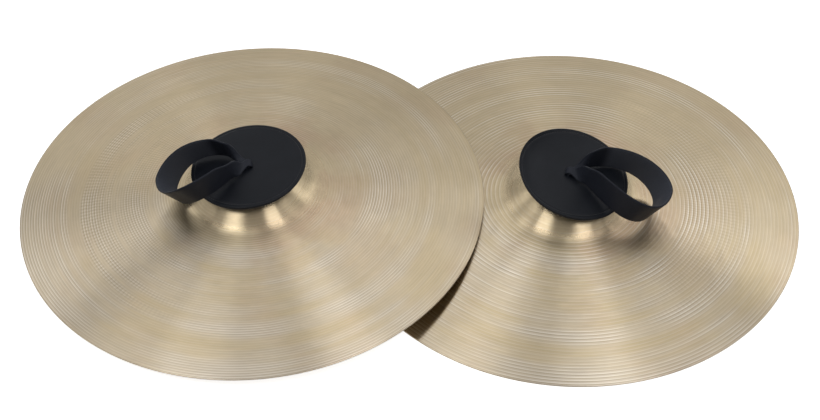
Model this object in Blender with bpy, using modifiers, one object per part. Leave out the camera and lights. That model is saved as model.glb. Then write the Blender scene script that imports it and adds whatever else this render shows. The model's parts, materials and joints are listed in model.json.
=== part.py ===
# A pair of orchestral hand cymbals laid down to rest: the lower one flat on its rim, the upper one
# leaning on the lower one's bow. Each cymbal carries a round leather pad lined with felt, and a leather
# hand strap whose four tails pass through the bell and are tied inside it in a crown knot.
# Metres, +Z up. The origin is on the floor, midway between the two cymbals.

import math
from dataclasses import dataclass

import bmesh
import bpy
from mathutils import Vector

MM = 0.001
GAP = 0.4 * MM

# Cymbal plate
RIM_RADIUS = 254.0 * MM
CROWN_HEIGHT = 51.0 * MM
CROWN_RADIUS = 9.0 * MM
HOLE_RADIUS = 6.3 * MM
BELL_ARC = 80.0 * MM
BELL_SLOPE = math.radians(44.0)
NECK_FILLET = 16.0 * MM
BOW_SLOPE = math.radians(6.0)
CROWN_THICKNESS = 1.7 * MM
RIM_THICKNESS = 1.1 * MM
RIM_LAND = 1.6 * MM
PLATE_STEPS = 60

# How the pair lies
CENTRE_DISTANCE = 346.0 * MM

# Pads
PAD_RADIUS = 63.2 * MM
PAD_LEATHER = 2.0 * MM
FELT_RADIUS = 61.8 * MM
PAD_FELT = 2.5 * MM
PAD_HOLE = 6.4 * MM
PAD_BEND_POWER = 3.0
PAD_STEPS = 40
PAD_RINGS = 5

# Hand strap loop
STRAP_THICKNESS = 2.0 * MM
STRAP_WIDTH = 31.5 * MM
NECK_WIDTH = 11.0 * MM
NECK_TAPER = 34.0 * MM
STAND_LENGTH = 24.0 * MM
HINGE_RISE = 3.3 * MM
LOOP_STATIONS = 56

# Strap tails and their crown knot
TAIL_WIDTH = 5.0 * MM
TAIL_THICKNESS = 1.8 * MM
TAIL_OFFSET = 2.75 * MM
TAIL_BEND = 2.0 * MM
KNOT_OFFSET = 4.2 * MM
KNOT_LAYER = TAIL_THICKNESS + GAP
KNOT_FOLD_AT = 7.2 * MM
TAIL_END = 13.5 * MM
TAIL_ABOVE_PAD = 0.7 * MM

# Heights on the cymbal's axis, from its rim plane
FELT_TOP = CROWN_HEIGHT + GAP + PAD_FELT
LEATHER_BASE = FELT_TOP + GAP
PAD_TOP = LEATHER_BASE + PAD_LEATHER
HINGE_HEIGHT = PAD_TOP + HINGE_RISE
KNOT_TOP = CROWN_HEIGHT - CROWN_THICKNESS - GAP - TAIL_THICKNESS / 2


@dataclass(frozen=True)
class StrapLay:
    """How one strap's loop lies: where it points, its plan, and how its band droops and leans."""

    heading: float
    length: float
    far_spread: float
    near_spread: float
    far_power: float
    near_power: float
    tip_height: float
    sag_power: float
    tip_lean: float
    back_lean: float
    mirrored: bool


@dataclass(frozen=True)
class PadLay:
    """How one pad sits: its rim's droop all round, the further droop on its low side, that side, and the
    offset of its rim."""

    all_round: float
    droop: float
    low_side: float
    shift: tuple


LOWER_STRAP = StrapLay(math.radians(-13.0), 102.5 * MM, 33.5 * MM, 58.3 * MM, 1.0, 1.45, 27.9 * MM, 1.95,
                       math.radians(37.6), math.radians(-1.1), False)
UPPER_STRAP = StrapLay(math.radians(187.3), 89.5 * MM, 22.1 * MM, 54.8 * MM, 0.5, 1.06, 29.6 * MM, 3.9,
                       math.radians(41.6), math.radians(-10.7), True)
LOWER_PAD = PadLay(-1.2 * MM, 16.4 * MM, math.radians(-23.5), (3.5 * MM, -0.4 * MM))
UPPER_PAD = PadLay(3.5 * MM, 5.0 * MM, math.radians(190.0), (-0.2 * MM, 3.9 * MM))

# Colours, roughness and metallic value
BRONZE = ((0.60, 0.47, 0.27), 0.30, 1.0)
PAD_BLACK = ((0.017, 0.019, 0.025), 0.48, 0.0)
FELT_BLACK = ((0.020, 0.020, 0.022), 0.95, 0.0)
STRAP_BLACK = ((0.014, 0.015, 0.018), 0.40, 0.0)
TAIL_BLACK = ((0.020, 0.018, 0.018), 0.55, 0.0)


def smooth(t):
    """Smooth step from 0 to 1."""
    t = min(max(t, 0.0), 1.0)
    return t * t * (3.0 - 2.0 * t)


def arc(start, slope_from, slope_to, radius, count):
    """Points and slopes along an arc that goes from one downward slope to another; a hollow arc has a
    negative radius."""
    points = []
    for i in range(1, count + 1):
        slope = slope_from + (slope_to - slope_from) * i / count
        x = start[0] + radius * (math.sin(slope) - math.sin(slope_from))
        z = start[1] + radius * (math.cos(slope) - math.cos(slope_from))
        points.append((x, z, slope))
    return points


def bow_arc(start):
    """Radius and end slope of the arc that takes the bow from the bell's foot to the rim."""
    run = RIM_RADIUS - start[0]
    drop = start[1] - RIM_THICKNESS
    end_slope = 2.0 * math.atan2(drop, run) - BOW_SLOPE
    return run / (math.sin(end_slope) - math.sin(BOW_SLOPE)), end_slope


def top_line():
    """The plate's upper outline from the hole to the rim, as (radius, height, slope)."""
    line = [(HOLE_RADIUS, CROWN_HEIGHT, 0.0), (CROWN_RADIUS, CROWN_HEIGHT, 0.0)]
    line += arc(line[-1], 0.0, BELL_SLOPE, BELL_ARC, 6)
    line += arc(line[-1], BELL_SLOPE, BOW_SLOPE, -NECK_FILLET, 3)
    radius, end_slope = bow_arc(line[-1])
    line += arc(line[-1], BOW_SLOPE, end_slope, radius, 4)
    return line


def bow_height(radius):
    """Height of the bow's upper face at a distance from the axis."""
    foot = arc(arc((CROWN_RADIUS, CROWN_HEIGHT), 0.0, BELL_SLOPE, BELL_ARC, 1)[0],
               BELL_SLOPE, BOW_SLOPE, -NECK_FILLET, 1)[0]
    bend, _ = bow_arc(foot)
    slope = math.asin(math.sin(BOW_SLOPE) + (radius - foot[0]) / bend)
    return foot[1] + bend * (math.cos(slope) - math.cos(BOW_SLOPE))


def lean_angle():
    """Lean of the upper cymbal: one side of its rim is on the floor, the other on the lower bow."""
    reach = CENTRE_DISTANCE - RIM_RADIUS
    return math.asin((bow_height(reach) + GAP) / (2.0 * RIM_RADIUS))


def material(name, finish):
    """A plain Principled material."""
    colour, roughness, metallic = finish
    made = bpy.data.materials.new(name)
    made.use_nodes = True
    shader = made.node_tree.nodes["Principled BSDF"]
    shader.inputs["Base Color"].default_value = (*colour, 1.0)
    shader.inputs["Roughness"].default_value = roughness
    shader.inputs["Metallic"].default_value = metallic
    return made


def add_object(name, data, parent, collection, finish=None):
    """Links a new object under its parent, with a material of its own."""
    made = bpy.data.objects.new(name, data)
    made.parent = parent
    collection.objects.link(made)
    if finish:
        data.materials.append(material(name, finish))
    return made


def add_axis(name, parent, collection, location, rotation=(0.0, 0.0, 0.0)):
    """An empty that stands on a joint's axis."""
    axis = add_object(name, None, parent, collection)
    axis.location = location
    axis.rotation_euler = rotation
    axis.empty_display_size = 0.03
    return axis


def add_plate(name, parent, collection):
    """The turned bronze plate: bell, bow and rim, thinning from the crown to the edge."""
    top = top_line()
    under = []
    for radius, height, slope in reversed(top[:-1]):
        share = radius / RIM_RADIUS
        wall = CROWN_THICKNESS + (RIM_THICKNESS - CROWN_THICKNESS) * share
        inner = max(radius - wall * math.sin(slope), HOLE_RADIUS)
        under.append((inner, height - wall * math.cos(slope)))
    edge = [(RIM_RADIUS, 0.25 * RIM_THICKNESS), (RIM_RADIUS - 0.2 * MM, 0.0), (RIM_RADIUS - RIM_LAND, 0.0)]
    outline = [(radius, height) for radius, height, _ in top] + edge + under
    mesh = bpy.data.meshes.new(name)
    count = len(outline)
    mesh.from_pydata([(x, 0.0, z) for x, z in outline], [(i, (i + 1) % count) for i in range(count)], [])
    plate = add_object(name, mesh, parent, collection, BRONZE)
    turn = plate.modifiers.new("Turn", "SCREW")
    turn.steps = PLATE_STEPS
    turn.render_steps = PLATE_STEPS
    turn.use_merge_vertices = True
    turn.merge_threshold = 0.00001
    return plate


def add_pad_ply(name, parent, collection, radius, base, thickness, side, lay, finish):
    """One ply of a pad: a disc that stays flat on the crown and bends down towards one side.

    The bend takes up some of the ply's reach, so its rim draws in where it drops. side is +1 for a ply
    that lies on its base height, and -1 for one that hangs below it.
    """
    bm = bmesh.new()
    spokes = []
    for i in range(PAD_RINGS + 1):
        spokes.append(bm.verts.new((PAD_HOLE + (radius - PAD_HOLE) * i / PAD_RINGS, 0.0, 0.0)))
    edges = [bm.edges.new(pair) for pair in zip(spokes, spokes[1:])]
    bmesh.ops.spin(bm, geom=spokes + edges, cent=(0, 0, 0), axis=(0, 0, 1), angle=math.tau,
                   steps=PAD_STEPS, use_merge=True)
    bmesh.ops.remove_doubles(bm, verts=bm.verts, dist=0.00001)
    drawn_power = 2.0 * PAD_BEND_POWER - 1.0
    for vert in bm.verts:
        reach = math.hypot(vert.co.x, vert.co.y)
        share = reach / PAD_RADIUS
        drop = lay.all_round + lay.droop * math.cos(math.atan2(vert.co.y, vert.co.x) - lay.low_side)
        drawn = (drop * PAD_BEND_POWER) ** 2 * share ** drawn_power / (2.0 * drawn_power * PAD_RADIUS)
        out = (reach - PAD_HOLE) / (PAD_RADIUS - PAD_HOLE)
        vert.co.x = vert.co.x * (reach - drawn) / reach + lay.shift[0] * out
        vert.co.y = vert.co.y * (reach - drawn) / reach + lay.shift[1] * out
        vert.co.z = base - drop * share ** PAD_BEND_POWER
    bmesh.ops.recalc_face_normals(bm, faces=bm.faces)
    if sum(face.normal.z for face in bm.faces) < 0.0:
        bmesh.ops.reverse_faces(bm, faces=bm.faces)
    mesh = bpy.data.meshes.new(name)
    bm.to_mesh(mesh)
    bm.free()
    ply = add_object(name, mesh, parent, collection, finish)
    wall = ply.modifiers.new("Thickness", "SOLIDIFY")
    wall.thickness = thickness
    wall.offset = side
    return ply


def add_band(name, parent, collection, stations, thickness, finish):
    """A leather band lofted through stations of (centre, vector across to one edge)."""
    bm = bmesh.new()
    rows = []
    for centre, across in stations:
        rows.append((bm.verts.new(centre - across), bm.verts.new(centre + across)))
    for (a, b), (c, d) in zip(rows, rows[1:]):
        bm.faces.new((a, b, d, c))
    mesh = bpy.data.meshes.new(name)
    bm.to_mesh(mesh)
    bm.free()
    band = add_object(name, mesh, parent, collection, finish)
    wall = band.modifiers.new("Thickness", "SOLIDIFY")
    wall.thickness = thickness
    wall.offset = 0.0
    wall.use_even_offset = True
    return band


def loop_stations(lay):
    """The strap's hand loop, lying along +X from its fold, as a leaning band.

    In plan the middle of the band is a teardrop with a far and a near half. The band is narrow and flat at
    the fold, where its two ends lie on one another, and turns up on edge as it widens. Its lower edge runs
    level over the pad and then droops, and the band leans outwards with that droop.
    """
    stations = []
    flip = Vector((1.0, -1.0 if lay.mirrored else 1.0, 1.0))
    for i in range(LOOP_STATIONS + 1):
        turn = math.tau * i / LOOP_STATIONS
        is_far = i < LOOP_STATIONS / 2
        spread = lay.far_spread if is_far else lay.near_spread
        power = lay.far_power if is_far else lay.near_power
        share = (1.0 - math.cos(turn)) / 2.0
        along = lay.length * share
        aside = spread * math.sin(turn) * abs(math.sin(turn / 2.0)) ** power
        opened = smooth(along / STAND_LENGTH)
        half = (NECK_WIDTH + (STRAP_WIDTH - NECK_WIDTH) * smooth(along / NECK_TAPER)) / 2.0
        lean = lay.tip_lean * share
        standing = Vector((math.sin(lean), math.cos(lean) * math.sin(lay.back_lean),
                           math.cos(lean) * math.cos(lay.back_lean)))
        across = Vector((0.0, 1.0, 0.0)).lerp(standing, opened).normalized() * half
        stack = (STRAP_THICKNESS / 2.0 + GAP / 2.0) * (1.0 - opened)
        layer = -stack if is_far else stack
        low = (lay.tip_height - HINGE_HEIGHT) * share ** lay.sag_power
        centre = Vector((along, aside, low + layer + across.z))
        stations.append((centre * flip, across * flip))
    return stations


def tail_path():
    """Middle line of one tail: down through the hole, out under the crown, folded back on itself, over
    the neighbour on one side and under the fold of the neighbour on the other side."""
    inner = 1.25 * MM
    first = KNOT_TOP - KNOT_LAYER
    second = KNOT_TOP - 2.0 * KNOT_LAYER
    path = [Vector((inner, TAIL_OFFSET, PAD_TOP + TAIL_ABOVE_PAD)),
            Vector((inner, TAIL_OFFSET, CROWN_HEIGHT))]
    for i in range(5):
        angle = math.pi / 2.0 * i / 4
        path.append(Vector((inner + TAIL_BEND * (1.0 - math.cos(angle)), TAIL_OFFSET,
                            KNOT_TOP + TAIL_BEND * (1.0 - math.sin(angle)))))
    bend_end = inner + TAIL_BEND
    for i in range(1, 3):
        share = i / 3
        path.append(Vector((bend_end + (KNOT_FOLD_AT - bend_end) * share,
                            TAIL_OFFSET + (KNOT_OFFSET - TAIL_OFFSET) * smooth(share), KNOT_TOP)))
    for i in range(7):
        angle = math.pi * i / 6
        path.append(Vector((KNOT_FOLD_AT + KNOT_LAYER * math.sin(angle), KNOT_OFFSET,
                            first + KNOT_LAYER * math.cos(angle))))
    crossing = KNOT_OFFSET - TAIL_WIDTH / 2.0
    for i in range(7):
        share = i / 6
        path.append(Vector((crossing * (1.0 - 2.0 * share), KNOT_OFFSET,
                            second + (first - second) * smooth(share))))
    path.append(Vector((-TAIL_END, KNOT_OFFSET, first)))
    return path


def tail_stations():
    """The tail's middle line with its width held level."""
    path = tail_path()
    stations = []
    for i, point in enumerate(path):
        run = (path[min(i + 1, len(path) - 1)] - path[max(i - 1, 0)]).normalized()
        level = Vector((0.0, 1.0, 0.0))
        across = (level - run * level.dot(run)).normalized() * TAIL_WIDTH / 2.0
        stations.append((point, across))
    return stations


def add_cymbal(side, collection, location, lean, strap, pad):
    """One cymbal with its pad and strap, each moving piece under an empty on its own axis."""
    frame = add_axis(side + "_frame", None, collection, location, (0.0, -lean, 0.0))
    add_plate(side + "_cymbal", frame, collection)
    swivel = add_axis(side + "_swivel_axis", frame, collection, (0.0, 0.0, 0.0))
    add_pad_ply(side + "_pad_leather", swivel, collection, PAD_RADIUS, LEATHER_BASE, PAD_LEATHER, 1.0,
                pad, PAD_BLACK)
    add_pad_ply(side + "_pad_felt", swivel, collection, FELT_RADIUS, FELT_TOP, PAD_FELT, -1.0,
                pad, FELT_BLACK)
    for i in range(4):
        tail = add_band(side + "_strap_tail_" + str(i + 1), swivel, collection, tail_stations(),
                        TAIL_THICKNESS, TAIL_BLACK)
        tail.rotation_euler = (0.0, 0.0, strap.heading + i * math.pi / 2.0)
    fold = add_axis(side + "_fold_axis", swivel, collection, (0.0, 0.0, HINGE_HEIGHT),
                    (0.0, 0.0, strap.heading))
    add_band(side + "_strap_loop", fold, collection, loop_stations(strap), STRAP_THICKNESS, STRAP_BLACK)


def main():
    for old in list(bpy.data.objects):
        bpy.data.objects.remove(old)
    pair = bpy.data.collections.new("hand_cymbals")
    bpy.context.scene.collection.children.link(pair)
    half = CENTRE_DISTANCE / 2.0
    lean = lean_angle()
    add_cymbal("lower", pair, (half, 0.0, 0.0), 0.0, LOWER_STRAP, LOWER_PAD)
    add_cymbal("upper", pair, (-half, 0.0, RIM_RADIUS * math.sin(lean)), lean, UPPER_STRAP, UPPER_PAD)
    for part in pair.objects:
        if part.type == "MESH":
            part.data.shade_smooth()
            part.data.set_sharp_from_angle(angle=math.radians(35.0))
    bpy.context.view_layer.update()


main()
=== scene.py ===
"""Looks of a pair of orchestral hand cymbals that lie leaning together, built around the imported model."""

import json
import logging
import math
from dataclasses import dataclass, replace
from enum import Enum
from typing import Any

import bpy
import numpy as np
from mathutils import Matrix, Vector


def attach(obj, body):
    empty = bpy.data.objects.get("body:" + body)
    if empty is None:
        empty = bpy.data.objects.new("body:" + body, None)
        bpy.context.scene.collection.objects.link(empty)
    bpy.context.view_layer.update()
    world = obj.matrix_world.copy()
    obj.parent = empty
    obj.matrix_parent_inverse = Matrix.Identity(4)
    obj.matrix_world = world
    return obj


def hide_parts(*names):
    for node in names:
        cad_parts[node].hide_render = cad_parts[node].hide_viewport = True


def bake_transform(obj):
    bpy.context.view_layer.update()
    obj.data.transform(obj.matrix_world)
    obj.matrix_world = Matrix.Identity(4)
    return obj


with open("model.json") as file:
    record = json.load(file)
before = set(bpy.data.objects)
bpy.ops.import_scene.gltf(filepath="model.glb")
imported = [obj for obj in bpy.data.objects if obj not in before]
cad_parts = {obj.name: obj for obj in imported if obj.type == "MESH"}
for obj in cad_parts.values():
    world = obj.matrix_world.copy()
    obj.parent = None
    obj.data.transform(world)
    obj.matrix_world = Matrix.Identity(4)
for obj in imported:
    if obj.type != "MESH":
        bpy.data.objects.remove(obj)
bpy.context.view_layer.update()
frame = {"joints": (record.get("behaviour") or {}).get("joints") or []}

LOG = logging.getLogger("hand_cymbals")
MM = 0.001
TAU = math.tau
INNER_FACE = "inner_face"
EDGE_STEPS = 7


class Side(Enum):
    """Which of the two cymbals a piece belongs to."""

    LOWER = "lower"
    UPPER = "upper"


class Slot(Enum):
    """The record's material slots."""

    BRONZE = "bronze"
    PAD = "pad_leather"
    FELT = "pad_felt"
    STRAP = "strap_leather"


def smooth(t: np.ndarray) -> np.ndarray:
    """Smooth step from 0 to 1.

    Args:
        t: Positions along the step.

    Returns:
        3 t squared less 2 t cubed, with t held between 0 and 1.
    """
    t = np.clip(t, 0.0, 1.0)
    return t * t * (3.0 - 2.0 * t)


def unit(vectors: np.ndarray) -> np.ndarray:
    """Vectors of length 1 along the rows given."""
    return vectors / np.linalg.norm(vectors, axis=-1, keepdims=True)


def joint_named(name: str) -> dict[str, Any]:
    """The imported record's joint of that name."""
    return next(joint for joint in frame["joints"] if joint["name"] == name)


class Sock:
    """A shader socket that takes part in sums, as a number would."""

    def __init__(self, shader: "Shader", socket: bpy.types.NodeSocket) -> None:
        """Wraps one output socket of a shader's nodes."""
        self.shader = shader
        self.socket = socket

    def apply(self, operation: str, *others: Any) -> "Sock":
        """One Math node.

        Args:
            operation: The Math node's operation.
            others: The further values or sockets it takes.

        Returns:
            The node's result.
        """
        values = dict(enumerate((self, *others)))
        return self.shader.node("ShaderNodeMath", {"operation": operation}, values)

    def __add__(self, other: Any) -> "Sock":
        """self + other."""
        return self.apply("ADD", other)

    def __sub__(self, other: Any) -> "Sock":
        """self - other."""
        return self.apply("SUBTRACT", other)

    def __rsub__(self, other: Any) -> "Sock":
        """other - self."""
        return self.shader.node("ShaderNodeMath", {"operation": "SUBTRACT"}, {0: other, 1: self})

    def __mul__(self, other: Any) -> "Sock":
        """self * other."""
        return self.apply("MULTIPLY", other)

    def __truediv__(self, other: Any) -> "Sock":
        """self / other."""
        return self.apply("DIVIDE", other)

    def __rtruediv__(self, other: Any) -> "Sock":
        """other / self."""
        return self.shader.node("ShaderNodeMath", {"operation": "DIVIDE"}, {0: other, 1: self})

    def __pow__(self, other: Any) -> "Sock":
        """self to the power of other."""
        return self.apply("POWER", other)

    __radd__ = __add__
    __rmul__ = __mul__

    def step(self, low: float, high: float) -> "Sock":
        """A smooth step that is 0 at low and 1 at high."""
        return self.shader.node("ShaderNodeMapRange", {"interpolation_type": "SMOOTHSTEP"},
                                {"Value": self, "From Min": low, "From Max": high})

    def between(self, inner: tuple[float, float], outer: tuple[float, float]) -> "Sock":
        """A smooth step up over the inner stretch and down again over the outer one."""
        return self.step(*inner) * (1.0 - self.step(*outer))


class Shader:
    """A node tree of a material or of the world, with one method that adds any node."""

    def __init__(self, tree: bpy.types.NodeTree) -> None:
        """Empties the tree."""
        self.tree = tree
        tree.nodes.clear()

    def node(self, kind: str, settings: dict[str, Any], inputs: dict[Any, Any], output: Any = 0) -> Sock:
        """Adds one node.

        Args:
            kind: The node's type.
            settings: Its properties, such as a Math node's operation, which are set first.
            inputs: Values or links of its sockets, by name or number.
            output: Name or number of the socket that is wanted.

        Returns:
            That output socket.
        """
        made = self.tree.nodes.new(kind)
        for name, value in settings.items():
            setattr(made, name, value)
        for name, value in inputs.items():
            if isinstance(value, Sock):
                self.tree.links.new(value.socket, made.inputs[name])
            else:
                made.inputs[name].default_value = value
        return Sock(self, made.outputs[output] if made.outputs else made.inputs[0])

    def noise(self, vector: Sock, scale: float, detail: float = 2.0, roughness: float = 0.5) -> Sock:
        """Noise from 0 to 1 over a vector."""
        return self.node("ShaderNodeTexNoise", {}, {"Vector": vector, "Scale": scale, "Detail": detail,
                                                    "Roughness": roughness}, "Fac")

    def mix(self, share: Any, first: Any, second: Any) -> Sock:
        """A colour between two colours."""
        return self.node("ShaderNodeMix", {"data_type": "RGBA"}, {0: share, 6: first, 7: second}, 2)

    def tint(self, colour: Any, value: Any) -> Sock:
        """A colour made lighter or darker by a value."""
        return self.node("ShaderNodeVectorMath", {"operation": "SCALE"}, {0: colour, "Scale": value})

    def combine(self, x: Any, y: Any, z: Any) -> Sock:
        """A vector from three values."""
        return self.node("ShaderNodeCombineXYZ", {}, {0: x, 1: y, 2: z})

    def split(self, vector: Sock) -> tuple[Sock, Sock, Sock]:
        """A vector's three values."""
        parted = self.node("ShaderNodeSeparateXYZ", {}, {0: vector}).socket.node
        return tuple(Sock(self, socket) for socket in parted.outputs)

    def bump(self, height: Sock, strength: float) -> Sock:
        """A normal bent by a height in metres."""
        return self.node("ShaderNodeBump", {}, {"Height": height, "Strength": strength, "Distance": 1.0})

    def ray(self, kind: str) -> Sock:
        """1 for rays of one kind and 0 for others."""
        return self.node("ShaderNodeLightPath", {}, {}, kind)

    def surface(self, values: dict[str, Any]) -> None:
        """Ends a material's tree with a Principled shader that takes these values."""
        shader = self.node("ShaderNodeBsdfPrincipled", {}, values)
        self.node("ShaderNodeOutputMaterial", {}, {"Surface": shader})


def rgba(colour: tuple[float, float, float]) -> tuple[float, float, float, float]:
    """A colour with full alpha."""
    return (*colour, 1.0)


def new_material(name: str) -> tuple[bpy.types.Material, Shader]:
    """An empty node material.

    Args:
        name: The material's name.

    Returns:
        The material, and the shader that fills its tree.
    """
    made = bpy.data.materials.new(name)
    made.use_nodes = True
    return made, Shader(made.node_tree)


@dataclass(frozen=True)
class Placement:
    """Where one cymbal lies: its rim circle's centre and its lean about the Y axis."""

    centre: tuple[float, float, float]
    lean: float

    def world(self, points: np.ndarray) -> np.ndarray:
        """Points of the cymbal's own frame, turned by its lean and moved to its centre.

        Args:
            points: Points with X, Y and Z in the last axis.

        Returns:
            The same points in the row frame.
        """
        cos, sin = math.cos(self.lean), math.sin(self.lean)
        turn = np.array(((cos, 0.0, sin), (0.0, 1.0, 0.0), (-sin, 0.0, cos)))
        return points @ turn + np.array(self.centre)

    def local(self, shader: Shader) -> Sock:
        """Object coordinates brought back to the cymbal's own frame."""
        place = shader.node("ShaderNodeTexCoord", {}, {}, "Object")
        return shader.node("ShaderNodeMapping", {"vector_type": "TEXTURE"},
                           {"Vector": place, "Location": self.centre, "Rotation": (0.0, -self.lean, 0.0)})


@dataclass(frozen=True)
class TurnedBronze:
    """Bell bronze turned on a lathe: pale gold, with a spiral line of painted shade and painted highlight,
    fine rings, chatter marks and tarnish.

    A pair of distances gives the start and the end of a soft step over the radius.
    """

    gold: tuple[float, float, float] = (0.63, 0.515, 0.335)
    silver: tuple[float, float, float] = (0.67, 0.585, 0.475)
    crest_highlight: tuple[float, float, float] = (0.82, 0.76, 0.65)
    groove_shade_and_chatter: tuple[float, float, float] = (0.40, 0.30, 0.175)
    blush: tuple[float, float, float] = (0.56, 0.41, 0.28)
    roughness: float = 0.30
    bell_roughness: float = 0.275
    anisotropy: float = 1.0
    groove_turn: float = 0.25
    line_strength: float = 0.6
    chatter_strength: float = 0.36
    chatter_count: float = 236.0
    chatter_side: float = 0.0
    bow: tuple[float, float] = (80.0 * MM, 105.0 * MM)
    lined: tuple[float, float] = (35.0 * MM, 135.0 * MM)
    chatter_inner: tuple[float, float] = (95.0 * MM, 115.0 * MM)
    chatter_outer: tuple[float, float] = (180.0 * MM, 215.0 * MM)
    foot_inner: tuple[float, float] = (55.0 * MM, 85.0 * MM)
    foot_outer: tuple[float, float] = (85.0 * MM, 140.0 * MM)
    ring_scale: float = 420.0
    band_scale: float = 62.0
    patch_scale: float = 17.0
    mottle_scale: float = 55.0
    tarnish_scale: float = 11.0

    def spiral(self, radius: Sock, heading: Sock, pitch: tuple[float, float, float]) -> Sock:
        """The lathe's line: a wave and its octave over the radius, which move out by one pitch a turn.

        Args:
            radius: Distance from the axis.
            heading: Angle round the axis.
            pitch: The line's pitch at the axis and at the rim, and the rim's radius.

        Returns:
            1 in the line's groove and 0 between its turns.
        """
        inner, outer, rim = pitch
        change = (outer - inner) / rim
        turns = (radius * (change / inner) + 1.0).apply("LOGARITHM", math.e) / change
        angle = turns * TAU + heading
        return angle.apply("SINE") * 0.36 + (angle * 2.0 + 0.7).apply("SINE") * 0.2 + 0.5

    def material(self, name: str, placement: Placement,
                 pitch: tuple[float, float, float]) -> bpy.types.Material:
        """Rings and bands are noise over the radius that hardly changes round the plate.

        The spiral line is painted shade in its groove and painted highlight on its crest, and stronger in
        some bands than in others. Chatter marks are an even wave round the axis, on one side and between two
        radii, in the same dark colour as the groove's painted shade. The bow is worn silvery in bands and
        patches; it is also painted paler on its near side and warmer on its far side, which is painted
        reflection tone, not wear. Tarnish is broad noise, warmest at the bell's foot.

        Args:
            name: The material's name.
            placement: Where the cymbal lies, so that the rings are about its axis.
            pitch: The spiral line's pitch at the axis and at the rim, and the rim's radius.

        Returns:
            The material.
        """
        made, shader = new_material(name)
        local = placement.local(shader)
        x, y = shader.split(local)[:2]
        radius = (x * x + y * y) ** 0.5
        east, north = x / radius, y / radius
        heading = y.apply("ARCTAN2", x)

        def ring_noise(reach: float, scale: float, detail: float, roughness: float) -> Sock:
            """Noise over the radius that changes round the plate as it would round a circle of this reach."""
            return shader.noise(shader.combine(east * reach, north * reach, radius), scale, detail, roughness)

        rings = ring_noise(0.015, self.ring_scale, 3.0, 0.65)
        bands = ring_noise(0.008, self.band_scale, 2.0, 0.55)
        patches = ring_noise(0.11, self.patch_scale, 2.0, 0.5)
        mottle = ring_noise(0.15, self.mottle_scale, 3.0, 0.6)
        tarnish = shader.noise(local, self.tarnish_scale, 3.0, 0.55)
        groove = self.spiral(radius, heading, pitch)
        on_bow = radius.step(*self.bow)
        line_share = 0.2 + bands.step(0.4, 0.58) * patches.step(0.3, 0.6) * 0.9
        strength = radius.step(*self.lined) * self.line_strength * line_share
        chatter = (heading * self.chatter_count + rings * 5.0).apply("SINE") * 0.5 + 0.5
        facing = east * math.cos(self.chatter_side) + north * math.sin(self.chatter_side)
        chattered = facing.step(0.1, 0.9) * radius.between(self.chatter_inner, self.chatter_outer)
        ripple = chatter ** 2.0 * chattered * bands.step(0.4, 0.52)
        ripple = ripple * (0.35 + rings * 1.3) * self.chatter_strength
        foot = radius.between(self.foot_inner, self.foot_outer)
        worn_share = bands.step(0.36, 0.6) * 0.5 + patches.step(0.35, 0.6) * 0.5
        # Partly painted reflection tone: the wear comes in bands and patches, but the heading factor makes
        # the near side paler silver and the far side warmer gold.
        worn = on_bow * (0.55 - north * 0.45) * worn_share
        roughness = self.bell_roughness + on_bow * (self.roughness - self.bell_roughness)
        colour = shader.mix(worn, rgba(self.gold), rgba(self.silver))
        colour = shader.mix(tarnish.step(0.45, 0.7) * (0.25 + foot * 0.75), colour, rgba(self.blush))
        # Painted highlight: the crests between the spiral line's turns are mixed towards a pale colour.
        colour = shader.mix(groove.step(0.4, 0.05) * strength, colour, rgba(self.crest_highlight))
        # Painted shade in the spiral line's groove; the chatter marks are real tool marks that share this
        # dark colour.
        colour = shader.mix(groove.step(0.65, 1.0) * strength + ripple, colour, rgba(self.groove_shade_and_chatter))
        light = (0.87 + rings * 0.26) * (0.94 + bands * 0.12) * (0.94 + mottle * 0.12)
        relief = (rings * 0.012 + patches * 0.15 - groove * 0.02) * MM
        shader.surface({
            "Base Color": shader.tint(colour, light),
            "Metallic": 1.0,
            "Roughness": roughness + bands * 0.06 - 0.03,
            "Anisotropic": self.anisotropy,
            "Anisotropic Rotation": self.groove_turn,
            "Normal": shader.bump(relief, 0.7),
        })
        return made


@dataclass(frozen=True)
class BlackLeather:
    """Dyed black leather with a fine grain. A strap's inner face is its duller flesh side, coloured much
    lighter;
    that lightness is partly painted light, standing in for light that falls inside the loop.
    """

    black: tuple[float, float, float] = (0.0062, 0.0078, 0.0118)
    worn: tuple[float, float, float] = (0.011, 0.013, 0.018)
    flesh_and_painted_light: tuple[float, float, float] = (0.07, 0.076, 0.094)
    roughness: float = 0.46
    gloss: float = 0.18
    grain: float = 1.0 * MM
    grain_depth: float = 0.05 * MM
    pore_scale: float = 900.0
    wear_scale: float = 34.0
    has_flesh_side_and_painted_light: bool = False

    def material(self, name: str) -> bpy.types.Material:
        """Grain is the distance to the edges of small cells, pores are fine noise and wear is broad noise.

        Args:
            name: The material's name.

        Returns:
            The material.
        """
        made, shader = new_material(name)
        place = shader.node("ShaderNodeTexCoord", {}, {}, "Object")
        cells = shader.node("ShaderNodeTexVoronoi", {"feature": "DISTANCE_TO_EDGE"},
                            {"Vector": place, "Scale": 1.0 / self.grain}, "Distance")
        pores = shader.noise(place, self.pore_scale, 3.0, 0.6)
        wear = shader.noise(place, self.wear_scale, 3.0, 0.6)
        pebble = cells.step(0.0, 0.32)
        colour = shader.mix(wear.step(0.35, 0.8) * 0.6, rgba(self.black), rgba(self.worn))
        # Partly painted light: the inner face is mixed towards a much lighter colour, for the flesh side and
        # for light inside the loop.
        if self.has_flesh_side_and_painted_light:
            inner = shader.node("ShaderNodeAttribute", {"attribute_name": INNER_FACE}, {}, "Fac")
            colour = shader.mix(inner.step(0.6, 1.0), colour, rgba(self.flesh_and_painted_light))
        shader.surface({
            "Base Color": shader.tint(colour, 0.86 + pebble * 0.16),
            "Roughness": self.roughness + (wear - 0.5) * 0.14 - pebble * 0.05,
            "Specular IOR Level": self.gloss,
            "Normal": shader.bump((pebble + pores * 0.5) * self.grain_depth, 0.55),
        })
        return made


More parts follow.
